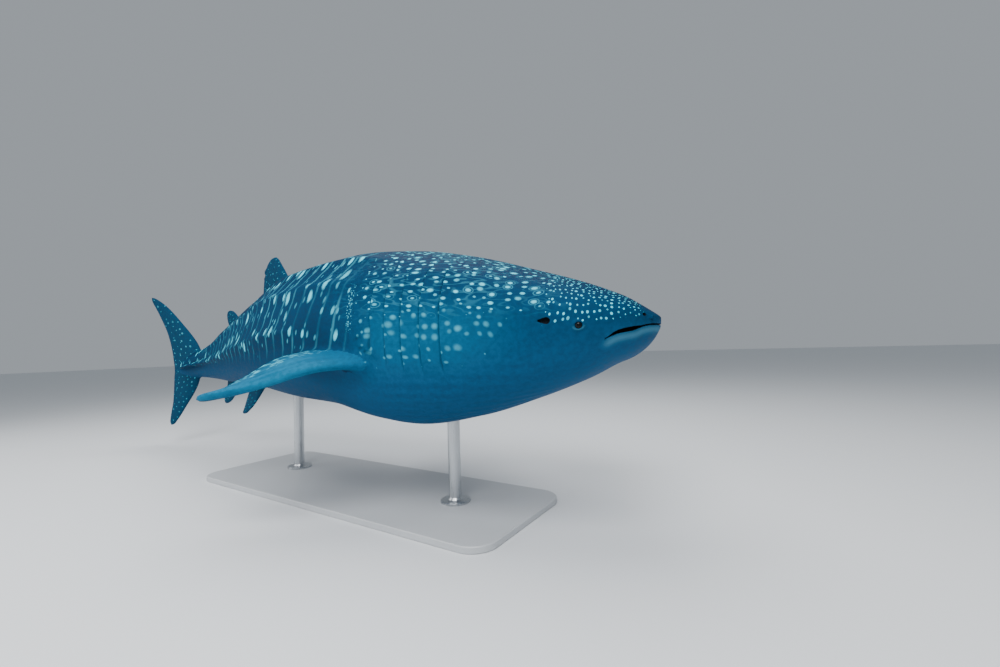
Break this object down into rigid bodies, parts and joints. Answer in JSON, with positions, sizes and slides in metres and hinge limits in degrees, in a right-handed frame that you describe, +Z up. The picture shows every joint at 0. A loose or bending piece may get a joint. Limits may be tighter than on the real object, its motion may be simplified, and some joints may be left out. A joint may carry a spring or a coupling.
{
  "type": "whale shark",
  "caption": "Life-size still whale shark, swimming with its tail swung aside, held by a flat display base and rods.",
  "frame": {"origin": "middle of the flat underside of the stand's base, on the floor", "axes": "+X towards the head, +Z up, the animal's right side faces -Y"},
  "size_m": [9.2067, 3.388, 2.9858],
  "materials": {
    "skin": "satin, wet-looking skin with pale spots",
    "eye": "glossy dark",
    "stand_steel": "brushed",
    "stand_base": "matt paint"
  },
  "bodies": {
    "root": {"head": "skin", "lower_jaw": "skin", "gills": "skin", "trunk_front": "skin", "trunk_middle": "skin", "trunk_rear": "skin", "tail_stalk": "skin", "dorsal_fin_first": "skin", "dorsal_fin_second": "skin", "anal_fin": "skin", "caudal_fin_upper": "skin", "caudal_fin_lower": "skin", "eye_right": "eye", "pectoral_fin_right": "skin", "pelvic_fin_right": "skin", "eye_left": "eye", "pectoral_fin_left": "skin", "pelvic_fin_left": "skin", "stand_base": "stand_base", "stand_rod_1": "stand_steel", "stand_rod_2": "stand_steel"}
  },
  "joints": []
}
